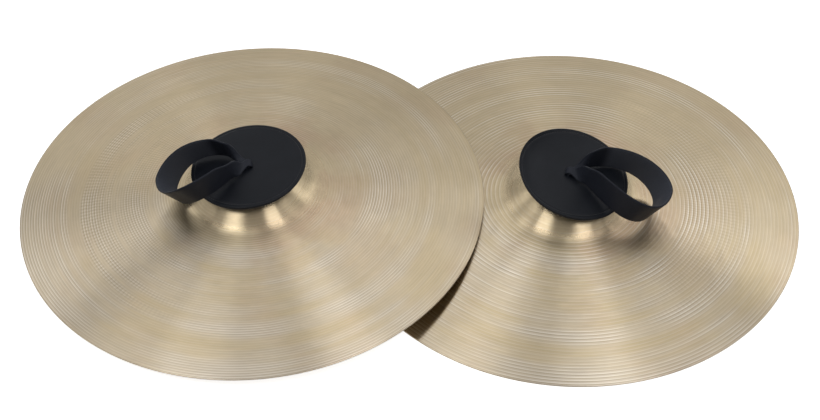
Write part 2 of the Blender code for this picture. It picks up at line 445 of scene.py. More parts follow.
@dataclass(frozen=True)
class WoolFelt:
    """Black wool felt: a dull, matted surface of short fibres."""

    black: tuple[float, float, float] = (0.020, 0.020, 0.022)
    lint: tuple[float, float, float] = (0.055, 0.053, 0.052)
    fibre_scale: float = 700.0
    cross_scale: float = 760.0
    stretch: float = 3.0

    def material(self, name: str) -> bpy.types.Material:
        """Fibres are stretched noise in two directions.

        Args:
            name: The material's name.

        Returns:
            The material.
        """
        made, shader = new_material(name)
        place = shader.node("ShaderNodeTexCoord", {}, {}, "Object")
        x, y, z = shader.split(place)
        long_way = shader.noise(shader.combine(x * self.stretch, y, z), self.fibre_scale, 4.0, 0.7)
        cross_way = shader.noise(shader.combine(x, y * self.stretch, z), self.cross_scale, 4.0, 0.7)
        fibre = long_way * cross_way * 2.0
        shader.surface({
            "Base Color": shader.mix(fibre.step(0.45, 0.95), rgba(self.black), rgba(self.lint)),
            "Roughness": 0.95,
            "Specular IOR Level": 0.2,
            "Sheen Weight": 0.3,
            "Normal": shader.bump(fibre * 0.25 * MM, 0.8),
        })
        return made


@dataclass(frozen=True)
class WaxedThread:
    """Black waxed sewing thread of twisted strands."""

    black: tuple[float, float, float] = (0.009, 0.009, 0.011)
    bright: tuple[float, float, float] = (0.022, 0.022, 0.025)
    twist_scale: float = 900.0

    def material(self, name: str) -> bpy.types.Material:
        """Strands are slanting waves.

        Args:
            name: The material's name.

        Returns:
            The material.
        """
        made, shader = new_material(name)
        place = shader.node("ShaderNodeTexCoord", {}, {}, "Object")
        twist = shader.node("ShaderNodeTexWave", {"bands_direction": "DIAGONAL"},
                            {"Vector": place, "Scale": self.twist_scale, "Distortion": 1.5}, "Fac")
        shader.surface({
            "Base Color": shader.mix(twist, rgba(self.black), rgba(self.bright)),
            "Roughness": 0.5,
            "Normal": shader.bump(twist * 0.05 * MM, 0.7),
        })
        return made


def grid_faces(rows: int, columns: int, close_rows: bool, close_columns: bool) -> np.ndarray:
    """Quads between neighbouring points of a grid.

    Args:
        rows: Number of rows.
        columns: Number of columns.
        close_rows: Whether the last row joins the first.
        close_columns: Whether the last column joins the first.

    Returns:
        Four vertex numbers for each quad.
    """
    i = np.arange(rows if close_rows else rows - 1)[:, None]
    j = np.arange(columns if close_columns else columns - 1)[None, :]
    next_i, next_j = (i + 1) % rows, (j + 1) % columns
    corners = (i * columns + j, next_i * columns + j, next_i * columns + next_j, i * columns + next_j)
    return np.stack([np.broadcast_to(c, (i.size, j.size)) for c in corners], -1).reshape(-1, 4)


def make_piece(name: str, points: np.ndarray, faces: list,
               material: bpy.types.Material) -> bpy.types.Object:
    """A smooth-shaded mesh object at the origin.

    Args:
        name: The piece's name.
        points: Its vertices in the row frame.
        faces: Vertex numbers of each face.
        material: Its finish.

    Returns:
        The new object.
    """
    mesh = bpy.data.meshes.new(name)
    mesh.from_pydata(points.reshape(-1, 3).tolist(), [], faces)
    mesh.materials.append(material)
    mesh.shade_smooth()
    mesh.update()
    made = bpy.data.objects.new(name, mesh)
    bpy.context.scene.collection.objects.link(made)
    return made


def report(piece: bpy.types.Object) -> None:
    """Logs a piece and its number of faces."""
    LOG.info("%s: %d faces", piece.name, len(piece.data.polygons))


@dataclass(frozen=True)
class CymbalPlate:
    """One turned plate: bell, bow and rim, with a lathe line and hammer marks in its upper face."""

    side: Side
    placement: Placement
    ring_pitch_inner: float
    ring_pitch_outer: float
    seed: int
    rim_radius: float = 254.0 * MM
    crown_height: float = 51.0 * MM
    crown_radius: float = 9.0 * MM
    hole_radius: float = 6.3 * MM
    bell_arc: float = 80.0 * MM
    bell_slope: float = math.radians(44.0)
    neck_fillet: float = 16.0 * MM
    bow_slope: float = math.radians(6.0)
    crown_thickness: float = 1.7 * MM
    rim_thickness: float = 1.1 * MM
    rim_land: float = 1.6 * MM
    land_step: float = 0.3 * MM
    edge_insets: tuple[float, ...] = (0.0, 0.0, 0.05 * MM, 0.2 * MM)
    edge_heights: tuple[float, ...] = (0.75, 0.3, 0.1, 0.0, 0.0)
    foot_softness: float = 9.0 * MM
    foot_samples: int = 25
    profile_samples: int = 4000
    ring_depth: float = 0.06 * MM
    ring_start: float = 12.0 * MM
    ring_fade: float = 20.0 * MM
    rim_fade: float = 8.0 * MM
    hammer_depth: float = 0.045 * MM
    hammer_start: float = 75.0 * MM
    hammer_fade: float = 30.0 * MM
    hammer_modes: int = 48
    hammer_spokes: tuple[int, int] = (8, 46)
    hammer_waves: tuple[float, float] = (90.0, 420.0)
    columns: int = 224
    bell_rows: int = 56
    bow_rows: int = 250
    under_rows: int = 66

    def bell_foot(self) -> tuple[float, float]:
        """Radius and height where the bell's arc meets the fillet."""
        radius = self.crown_radius + self.bell_arc * math.sin(self.bell_slope)
        return radius, self.crown_height - self.bell_arc * (1.0 - math.cos(self.bell_slope))

    def bow_start(self) -> tuple[float, float]:
        """Radius and height where the fillet meets the bow.

        Returns:
            The radius and the height.
        """
        radius, height = self.bell_foot()
        radius += self.neck_fillet * (math.sin(self.bell_slope) - math.sin(self.bow_slope))
        return radius, height - self.neck_fillet * (math.cos(self.bow_slope) - math.cos(self.bell_slope))

    def slope(self, radius: np.ndarray) -> np.ndarray:
        """Downward slope of the upper face.

        On an arc the sine of the slope grows evenly with the radius: from 0 on the bell, back down on the
        hollow fillet, and slowly up again on the bow.

        Args:
            radius: Distances from the axis.

        Returns:
            The slope's angle at each distance.
        """
        foot, start = self.bell_foot()[0], self.bow_start()
        chord = math.atan2(start[1] - self.rim_thickness, self.rim_radius - start[0])
        steeper = math.sin(2.0 * chord - self.bow_slope) - math.sin(self.bow_slope)
        bell = (radius - self.crown_radius) / self.bell_arc
        fillet = math.sin(self.bell_slope) - (radius - foot) / self.neck_fillet
        bow = math.sin(self.bow_slope) + steeper * (radius - start[0]) / (self.rim_radius - start[0])
        sine = np.select((radius <= self.crown_radius, radius <= foot, radius <= start[0]),
                         (np.zeros_like(radius), bell, fillet), bow)
        return np.arcsin(sine)

    def soft_slope(self, radius: np.ndarray) -> np.ndarray:
        """The slope averaged over a short stretch either side, so that the bell's foot is softly rounded.

        Args:
            radius: Distances from the axis.

        Returns:
            The mean of the slopes nearby, weighted by a half wave.
        """
        shifts = np.linspace(-self.foot_softness, self.foot_softness, self.foot_samples)
        weights = np.cos(np.linspace(-math.pi / 2.0, math.pi / 2.0, self.foot_samples)) + 0.02
        near = np.clip(radius[..., None] + shifts, 0.0, self.rim_radius)
        return (self.slope(near) * weights).sum(-1) / weights.sum()

    def height(self, radius: np.ndarray) -> np.ndarray:
        """Height of the upper face: what the slope's tangent adds up to, from the crown outwards.

        Args:
            radius: Distances from the axis.

        Returns:
            Heights above the rim plane.
        """
        fine = np.linspace(self.hole_radius, self.rim_radius, self.profile_samples)
        tangent = np.tan(self.soft_slope(fine))
        steps = (tangent[1:] + tangent[:-1]) / 2.0 * (fine[1] - fine[0])
        drop = np.concatenate(([0.0], np.cumsum(steps)))
        return self.crown_height - np.interp(radius, fine, drop)

    def rings(self, radius: np.ndarray, turn: np.ndarray) -> np.ndarray:
        """Depth of the lathe's spiral line and of the hammer marks.

        The line is the narrow peaks of a wave over the radius whose pitch changes evenly from axis to rim,
        and which moves out by one pitch a turn. It is faint in some bands. The hammer marks are a sum of
        waves in radius and heading.

        Args:
            radius: Distances from the axis, as a column.
            turn: Headings, as a row.

        Returns:
            Heights to add to the upper face.
        """
        share = radius / self.rim_radius
        change = (self.ring_pitch_outer - self.ring_pitch_inner) / self.rim_radius
        phase = np.log(1.0 + change * radius / self.ring_pitch_inner) / change
        strength = 0.65 + 0.35 * np.sin(41.0 * share + self.seed) * np.sin(17.0 * share + 2.0 * self.seed)
        kept = smooth((radius - self.ring_start) / self.ring_fade)
        kept = kept * smooth((self.rim_radius - radius) / self.rim_fade)
        line = -self.ring_depth * strength * (0.5 + 0.5 * np.sin(TAU * phase + turn)) ** 3
        draw = np.random.default_rng(self.seed)
        spokes = draw.integers(*self.hammer_spokes, self.hammer_modes)
        waves = draw.uniform(*self.hammer_waves, self.hammer_modes)
        starts = draw.uniform(0.0, TAU, self.hammer_modes)
        marks = np.zeros(np.broadcast_shapes(radius.shape, turn.shape))
        for spoke, wave, start in zip(spokes, waves, starts):
            marks += np.sin(wave * radius + start) * np.cos(spoke * turn + wave)
        on_bow = smooth((radius - self.hammer_start) / self.hammer_fade)
        return kept * (line + on_bow * self.hammer_depth * marks / math.sqrt(self.hammer_modes))

    def build(self, finish: TurnedBronze) -> bpy.types.Object:
        """The plate: its closed outline carried round the axis.

        Args:
            finish: The bronze.

        Returns:
            The piece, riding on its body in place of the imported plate.
        """
        start = self.bow_start()[0]
        land_end = self.rim_radius - self.rim_land - self.land_step
        upper = np.concatenate((np.linspace(self.hole_radius, start, self.bell_rows, endpoint=False),
                                np.linspace(start, self.rim_radius, self.bow_rows)))
        lower = np.concatenate((np.linspace(land_end, start, self.under_rows),
                                np.linspace(start, self.hole_radius, self.bell_rows // 2)[1:]))
        turn = np.linspace(0.0, TAU, self.columns, endpoint=False)[None, :]
        top = self.height(upper)[:, None] + self.rings(upper[:, None], turn)
        wall = self.crown_thickness + (self.rim_thickness - self.crown_thickness) * lower / self.rim_radius
        slope = self.soft_slope(lower)
        inner = np.maximum(lower - wall * np.sin(slope), self.hole_radius)
        under = np.maximum(self.height(lower) - wall * np.cos(slope), 0.0)
        edge_radius = self.rim_radius - np.array((*self.edge_insets, self.rim_land))
        edge_height = self.rim_thickness * np.array(self.edge_heights)
        radius = np.concatenate((upper, edge_radius, inner))[:, None]
        rest = np.concatenate((edge_height, under))[:, None] * np.ones_like(turn)
        height = np.concatenate((top, rest))
        points = np.stack((radius * np.cos(turn), radius * np.sin(turn), height), -1)
        faces = grid_faces(*height.shape, True, True)[:, ::-1]
        name = self.side.value
        body = name + "_cymbal"
        pitch = (self.ring_pitch_inner, self.ring_pitch_outer, self.rim_radius)
        bronze = finish.material(name + "_turned_bronze", self.placement, pitch)
        plate = make_piece(name + "_plate", self.placement.world(points), faces.tolist(), bronze)
        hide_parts(body)
        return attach(plate, body)


@dataclass(frozen=True)
class Pad:
    """A round pad on the bell: a leather disc sewn to a felt disc, bent down towards one side."""

    side: Side
    placement: Placement
    all_round: float
    droop: float
    low_side: float
    shift: tuple[float, float]
    radius: float = 63.2 * MM
    hole: float = 6.4 * MM
    leather_hole: float = 2.0 * MM
    felt_radius: float = 62.0 * MM
    felt_base: float = 51.4 * MM
    felt: float = 2.5 * MM
    leather_base: float = 54.3 * MM
    leather: float = 2.0 * MM
    bend_power: float = 3.0
    seam_inset: float = 4.2 * MM
    seam_depth: float = 0.55 * MM
    seam_width: float = 0.9 * MM
    stitch_count: int = 128
    stitch_length: float = 2.5 * MM
    stitch_width: float = 0.75 * MM
    stitch_slant: float = 0.12
    stitch_rings: int = 7
    stitch_sides: int = 8
    fill: float = 0.9
    rim_steps: int = 9
    rows: int = 96
    columns: int = 192

    def bend(self, points: np.ndarray) -> np.ndarray:
        """Bends points of the flat pad.

        A point drops by its share of the radius to the bend power, times the droop at its heading. The bend
        takes up some of its reach, and the rim is moved sideways by the shift.

        Args:
            points: Points of the flat pad in the cymbal's frame.

        Returns:
            The same points on the bent pad, in the row frame.
        """
        x, y, z = np.moveaxis(points, -1, 0)
        reach = np.hypot(x, y)
        share = reach / self.radius
        drop = self.all_round + self.droop * np.cos(np.arctan2(y, x) - self.low_side)
        power = 2.0 * self.bend_power - 1.0
        drawn = (drop * self.bend_power) ** 2 * share ** power / (2.0 * power * self.radius)
        kept = (reach - drawn) / reach
        out = (reach - self.hole) / (self.radius - self.hole)
        bent = np.stack((x * kept + self.shift[0] * out, y * kept + self.shift[1] * out,
                         z - drop * share ** self.bend_power), -1)
        return self.placement.world(bent)

    def seam(self, radius: np.ndarray) -> np.ndarray:
        """Depth of the sewn crease: a bell curve at the seam, and a soft fall to the rim.

        Args:
            radius: Distances from the axis.

        Returns:
            Depths below the flat upper face.
        """
        inset = self.radius - radius
        crease = np.exp(-((inset - self.seam_inset) / self.seam_width) ** 2)
        return self.seam_depth * (crease + 0.5 * smooth(1.0 - inset / self.seam_inset))

    def disc(self, radius: float, hole: float, base: float, thickness: float, creased: bool) -> np.ndarray:
        """A flat ring with a rounded rim, as a closed outline carried round the axis.

        Args:
            radius: The rim's radius.
            hole: Its hole's radius.
            base: Height of its lower face.
            thickness: Its thickness.
            creased: Whether the upper face has the sewn crease.

        Returns:
            Points in the cymbal's frame, rows along the outline and columns round the axis.
        """
        half = thickness / 2.0
        flat = np.linspace(hole, radius - half, self.rows)
        arc = np.linspace(math.pi / 2.0, -math.pi / 2.0, self.rim_steps)[1:-1]
        top = np.full_like(flat, base + thickness) - (self.seam(flat) if creased else 0.0)
        rim_drop = (self.seam(np.full(arc.shape, radius - half)) if creased else 0.0) * smooth(np.sin(arc))
        out = np.concatenate((flat, radius - half + half * np.cos(arc), flat[::-2]))
        rim = base + half + half * np.sin(arc) - rim_drop
        up = np.concatenate((top, rim, np.full(flat[::-2].shape, base)))
        turn = np.linspace(0.0, TAU, self.columns, endpoint=False)
        return np.stack((out[:, None] * np.cos(turn), out[:, None] * np.sin(turn),
                         up[:, None] * np.ones_like(turn)), -1)

    def ply(self, name: str, points: np.ndarray, material: bpy.types.Material) -> bpy.types.Object:
        """One bent disc, riding on the swivelling body.

        Args:
            name: The piece's name.
            points: The flat disc's points.
            material: Its finish.

        Returns:
            The piece.
        """
        faces = grid_faces(*points.shape[:2], True, True)[:, ::-1]
        made = make_piece(name, self.bend(points), faces.tolist(), material)
        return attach(made, self.side.value + "_strap_swivel")

    def stitches(self, material: bpy.types.Material) -> bpy.types.Object:
        """The seam's stitches: a row of small slanting ellipsoids that sit in the crease.

        Args:
            material: The thread.

        Returns:
            The piece.
        """
        along = np.linspace(0.0, math.pi, self.stitch_rings)[:, None]
        around = np.linspace(0.0, TAU, self.stitch_sides, endpoint=False)[None, :]
        lengthwise = self.stitch_length / 2.0 * np.cos(along) * np.ones_like(around)
        outwards = self.stitch_width / 2.0 * np.sin(along) * np.cos(around)
        upwards = self.stitch_width / 2.0 * np.sin(along) * np.sin(around)
        turn = np.linspace(0.0, TAU, self.stitch_count, endpoint=False)[:, None, None]
        seam_radius = self.radius - self.seam_inset
        reach = seam_radius + outwards + self.stitch_slant * lengthwise
        heading = turn + lengthwise / seam_radius
        height = self.leather_base + self.leather - self.seam_depth + upwards
        points = np.stack((reach * np.cos(heading), reach * np.sin(heading),
                           height * np.ones_like(turn)), -1)
        one = grid_faces(self.stitch_rings, self.stitch_sides, False, True)[:, ::-1]
        starts = np.arange(self.stitch_count)[:, None, None] * self.stitch_rings * self.stitch_sides
        made = make_piece(self.side.value + "_pad_stitches", self.bend(points),
                          (one[None] + starts).reshape(-1, 4).tolist(), material)
        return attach(made, self.side.value + "_strap_swivel")

    def build(self, leather: BlackLeather, felt: WoolFelt, thread: WaxedThread) -> list[bpy.types.Object]:
        """Leather ply, felt ply and stitches.

        Args:
            leather: The pad's leather.
            felt: Its lining.
            thread: Its sewing thread.

        Returns:
            The three pieces.
        """
        name = self.side.value
        top = self.ply(name + "_pad_top",
                       self.disc(self.radius, self.leather_hole, self.leather_base, self.leather, True),
                       leather.material(name + "_pad_black_leather"))
        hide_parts(name + "_pad_leather")
        lining = self.ply(name + "_pad_lining",
                          self.disc(self.felt_radius, self.hole, self.felt_base, self.felt, False),
                          felt.material(name + "_pad_black_felt"))
        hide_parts(name + "_pad_felt")
        thread_row = self.stitches(thread.material(name + "_pad_thread"))
        return [top, lining, thread_row]


def band(path: np.ndarray, across: np.ndarray, half: np.ndarray, thickness: float,
         flats: int = 13) -> tuple[np.ndarray, np.ndarray]:
    """A leather band: a flat section with half-round edges carried along a path.

    The section runs along the upper face, round one edge, back along the lower face and round the other
    edge. Its thickness stands square to the path and to the direction across.

    Args:
        path: Middle line of the band.
        across: Unit vectors across the band, one for each point of the path.
        half: Half of the band's width at each point.
        thickness: The leather's thickness.
        flats: Number of points along each face.

    Returns:
        The points, rows along the path and columns round the section, and each column's height in the
        section, from -1 on the lower face to 1 on the upper face.
    """
    along = unit(np.gradient(path, axis=0))
    normal = unit(np.cross(along, across))
    face = np.linspace(-1.0, 1.0, flats)
    arc = np.linspace(math.pi / 2.0, -math.pi / 2.0, EDGE_STEPS)[1:-1]
    share = np.concatenate((face, np.ones(arc.size), -face, -np.ones(arc.size)))
    out = np.concatenate((0.0 * face, np.cos(arc), 0.0 * face, -np.cos(arc)))
    up = np.concatenate((np.ones(flats), np.sin(arc), -np.ones(flats), -np.sin(arc)))
    radius = thickness / 2.0
    wide = share[None, :] * (half[:, None] - radius) + out[None, :] * radius
    thick = up[None, :] * radius
    return path[:, None] + across[:, None] * wide[..., None] + normal[:, None] * thick[..., None], up


def closed_band(points: np.ndarray) -> list[list[int]]:
    """Faces of a band's grid, with both ends closed.

    Args:
        points: The band's points, rows along its path.

    Returns:
        Vertex numbers of each face.
    """
    rows, columns = points.shape[:2]
    sides = grid_faces(rows, columns, False, True)
    first = list(range(columns))
    last = [(rows - 1) * columns + i for i in reversed(range(columns))]
    return sides.tolist() + [first, last]


def face_outwards(piece: bpy.types.Object) -> None:
    """Turns a closed piece's faces outwards, by the sign of its volume.

    Args:
        piece: The piece.
    """
    polygons = piece.data.polygons
    count = len(polygons)
    centres, normals, areas = np.empty(3 * count), np.empty(3 * count), np.empty(count)
    polygons.foreach_get("center", centres)
    polygons.foreach_get("normal", normals)
    polygons.foreach_get("area", areas)
    if ((centres * normals).reshape(-1, 3).sum(1) * areas).sum() < 0.0:
        piece.data.flip_normals()


def mark_inner_face(piece: bpy.types.Object, share: np.ndarray) -> None:
    """Stores how far each point of a band's grid is on its inner face."""
    values = share.astype(np.float32).ravel()
    piece.data.attributes.new(INNER_FACE, "FLOAT", "POINT").data.foreach_set("value", values)


@dataclass(frozen=True)
class HandStrap:
    """A leather hand strap: one wide loop, and four slit tails tied in a crown knot inside the bell."""

    side: Side
    placement: Placement
    heading: float
    length: float
    far_spread: float
    near_spread: float
    far_power: float
    near_power: float
    tip_height: float
    sag_power: float
    tip_lean: float
    back_lean: float
    mirrored: bool
    width: float = 31.5 * MM
    thickness: float = 2.0 * MM
    neck_width: float = 11.0 * MM
    neck_taper: float = 34.0 * MM
    stand_length: float = 24.0 * MM
    hinge_height: float = 59.6 * MM
    gap: float = 0.4 * MM
    neck_bend: float = 2.2 * MM
    root_height: float = 54.5 * MM
    root_share: float = 0.62
    root_steps: int = 6
    neck_steps: int = 10
    bend_start: float = -1.5 * MM
    bend_end: float = 16.0 * MM
    stations: int = 260
    tail_width: float = 5.0 * MM
    tail_thickness: float = 1.8 * MM
    tail_offset: float = 2.75 * MM
    tail_bend: float = 2.0 * MM
    tail_inner: float = 1.25 * MM
    tail_end: float = 13.5 * MM
    tail_top: float = 57.0 * MM
    crown_height: float = 51.0 * MM
    knot_top: float = 48.0 * MM
    knot_offset: float = 4.2 * MM
    knot_fold_at: float = 7.2 * MM
    tail_count: int = 4
    tail_flats: int = 7
    quarter_steps: int = 9
    run_steps: int = 6
    fold_steps: int = 15

    def turned(self, points: np.ndarray, extra: float = 0.0) -> np.ndarray:
        """Points turned to the strap's heading, and placed in the row frame.

        Args:
            points: Points with the strap along X.
            extra: A further turn.

        Returns:
            The same points in the row frame.
        """
        angle = self.heading + extra
        cos, sin = math.cos(angle), math.sin(angle)
        x, y, z = np.moveaxis(points, -1, 0)
        return self.placement.world(np.stack((x * cos - y * sin, x * sin + y * cos, z), -1))

    def loop_line(self) -> tuple[np.ndarray, np.ndarray, np.ndarray]:
        """Middle line, direction across and half width of the loop, lying along +X from its fold.

        In plan the line is a teardrop: along is the length times half of 1 less the cosine of the turn, and
        aside is the spread times the sine of the turn times a power of the sine of half the turn. The far
        and the near half have their own spread and power. The band is narrow and flat at the neck, where
        its ends lie on one another, and turns up on edge as it widens. Its lower edge runs level over the
        pad and then droops by a power of the share of the length.

        Returns:
            The line's points, unit vectors across it, and half widths.
        """
        turn = np.linspace(0.0, TAU, self.stations)
        share = (1.0 - np.cos(turn)) / 2.0
        along = self.length * share
        is_far = turn < math.pi
        spread = np.where(is_far, self.far_spread, self.near_spread)
        power = np.where(is_far, self.far_power, self.near_power)
        aside = spread * np.sin(turn) * np.abs(np.sin(turn / 2.0)) ** power
        opened = smooth(along / self.stand_length)
        half = (self.neck_width + (self.width - self.neck_width) * smooth(along / self.neck_taper)) / 2.0
        lean = self.tip_lean * share
        standing = np.stack((np.sin(lean), np.cos(lean) * math.sin(self.back_lean),
                             np.cos(lean) * math.cos(self.back_lean)), -1)
        flat = np.array((0.0, 1.0, 0.0))
        across = unit(flat + (standing - flat) * opened[:, None])
        layer = (self.thickness + self.gap) / 2.0 * (1.0 - opened) * np.where(is_far, -1.0, 1.0)
        low = self.hinge_height + (self.tip_height - self.hinge_height) * share ** self.sag_power
        line = np.stack((along, aside, low + layer + across[:, 2] * half), -1)
        return line, across, half

    def neck_line(self, layer: float) -> np.ndarray:
        """One end of the loop: a quarter turn from the level neck down into the hole.

        Args:
            layer: -1 for the end that lies below at the neck, 1 for the end that lies above.

        Returns:
            The line's points, from the hole up to the neck.
        """
        rise = np.linspace(0.0, 1.0, self.root_steps)[:, None]
        angle = np.linspace(0.0, math.pi / 2.0, self.neck_steps)[:, None]
        radius = self.neck_bend + (layer + 1.0) * (self.thickness + self.gap) / 2.0
        middle = self.hinge_height - (self.thickness + self.gap) / 2.0 - self.neck_bend
        bend = np.hstack((-radius * np.cos(angle), 0.0 * angle, middle + radius * np.sin(angle)))
        root = np.hstack((np.full_like(rise, -radius), 0.0 * rise,
                          self.root_height + (middle - self.root_height) * rise))
        return np.concatenate((root[:-1], bend[:-1]))

    def build_loop(self, finish: BlackLeather) -> bpy.types.Object:
        """The loop with both its ends, which turn down from the neck into the hole.

        Args:
            finish: The strap's leather.

        Returns:
            The piece.
        """
        name = self.side.value
        line, across, half = self.loop_line()
        first, last = self.neck_line(-1.0), self.neck_line(1.0)[::-1]
        flat = np.array((0.0, 1.0, 0.0))
        path = np.concatenate((first, line, last))
        ways = np.concatenate((np.tile(flat, (len(first), 1)), across, np.tile(flat, (len(last), 1))))
        narrow = np.linspace(self.root_share, 1.0, len(first)) * self.neck_width / 2.0
        halves = np.concatenate((narrow, half, narrow[::-1]))
        flip = np.array((1.0, -1.0 if self.mirrored else 1.0, 1.0))
        points, level = band(path * flip, ways * flip, halves, self.thickness)
        loop = make_piece(name + "_loop", self.turned(points), closed_band(points),
                          finish.material(name + "_strap_black_leather"))
        face_outwards(loop)
        past_neck = smooth((path[:, 0] - self.stand_length / 2.0) / self.neck_taper)
        # Where the lighter inner-face colour goes: past the neck, on the inner face. That lightness is partly
        # painted light.
        mark_inner_face(loop, np.outer(past_neck, np.maximum(level * flip[1], 0.0)))
        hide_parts(name + "_strap_loop")
        start = self.turned(np.array((self.bend_start, 0.0, self.hinge_height)))
        end = self.turned(np.array((self.bend_end, 0.0, self.hinge_height)))
        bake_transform(loop)
        return loop

    def tail_line(self) -> np.ndarray:
        """Middle line of one tail of the crown knot.

        It goes down through the hole, bends out under the crown, folds back on itself in a half round, and
        crosses over one neighbour and under the fold of the next.

        Returns:
            The line's points, with the tail's own direction along X.
        """
        layer = self.tail_thickness + self.gap
        first, second = self.knot_top - layer, self.knot_top - 2.0 * layer
        quarter = np.linspace(0.0, math.pi / 2.0, self.quarter_steps)
        half_turn = np.linspace(0.0, math.pi, self.fold_steps)
        share = np.linspace(0.0, 1.0, self.run_steps)[1:-1]
        cross = np.linspace(0.0, 1.0, self.fold_steps)
        run_start = self.tail_inner + self.tail_bend
        crossing = self.knot_offset - self.tail_width / 2.0
        along = np.concatenate((
            (self.tail_inner, self.tail_inner),
            self.tail_inner + self.tail_bend * (1.0 - np.cos(quarter)),
            run_start + (self.knot_fold_at - run_start) * share,
            self.knot_fold_at + layer * np.sin(half_turn),
            crossing * (1.0 - 2.0 * cross),
            (-self.tail_end,)))
        aside = np.concatenate((
            np.full(2 + quarter.size, self.tail_offset),
            self.tail_offset + (self.knot_offset - self.tail_offset) * smooth(share),
            np.full(half_turn.size + cross.size + 1, self.knot_offset)))
        up = np.concatenate((
            (self.tail_top, self.crown_height),
            self.knot_top + self.tail_bend * (1.0 - np.sin(quarter)),
            np.full(share.size, self.knot_top),
            first + layer * np.cos(half_turn),
            second + (first - second) * smooth(cross),
            (first,)))
        return np.stack((along, aside, up), -1)

    def build_tails(self, finish: BlackLeather) -> list[bpy.types.Object]:
        """The four tails of the crown knot, a quarter turn apart.

        Args:
            finish: The strap's leather.

        Returns:
            The four pieces.
        """
        line = self.tail_line()
        run = unit(np.gradient(line, axis=0))
        level = np.array((0.0, 1.0, 0.0))
        across = unit(level - run * (run @ level)[:, None])
        half = np.full(len(line), self.tail_width / 2.0)
        points = band(line, across, half, self.tail_thickness, self.tail_flats)[0]
        name = self.side.value
        material = finish.material(name + "_tail_black_leather")
        tails = []
        for i in range(self.tail_count):
            placed = self.turned(points, i * TAU / self.tail_count)
            tail = make_piece(name + "_tail_" + str(i + 1), placed, closed_band(points), material)
            face_outwards(tail)
            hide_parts(name + "_strap_tail_" + str(i + 1))
            tails.append(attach(tail, name + "_strap_swivel"))
        return tails


@dataclass(frozen=True)
class Softbox:
    """A soft square lamp that faces the middle of the pair."""

    name: str
    azimuth: float
    elevation: float
    size: float
    radiance: float
    distance: float = 2.4

    def build(self) -> bpy.types.Object:
        """The lamp. Its power gives its face the stated radiance.

        Returns:
            The lamp's object.
        """
        lamp = bpy.data.lights.new(self.name, "AREA")
        lamp.shape = "SQUARE"
        lamp.size = self.size
        lamp.energy = self.radiance * math.pi * self.size ** 2
        made = bpy.data.objects.new(self.name, lamp)
        bpy.context.scene.collection.objects.link(made)
        level, rise = math.radians(self.azimuth), math.radians(self.elevation)
        out = Vector((math.cos(level) * math.cos(rise), math.sin(level) * math.cos(rise), math.sin(rise)))
        made.location = out * self.distance
        made.rotation_euler = out.to_track_quat("Z", "Y").to_euler()
        return made


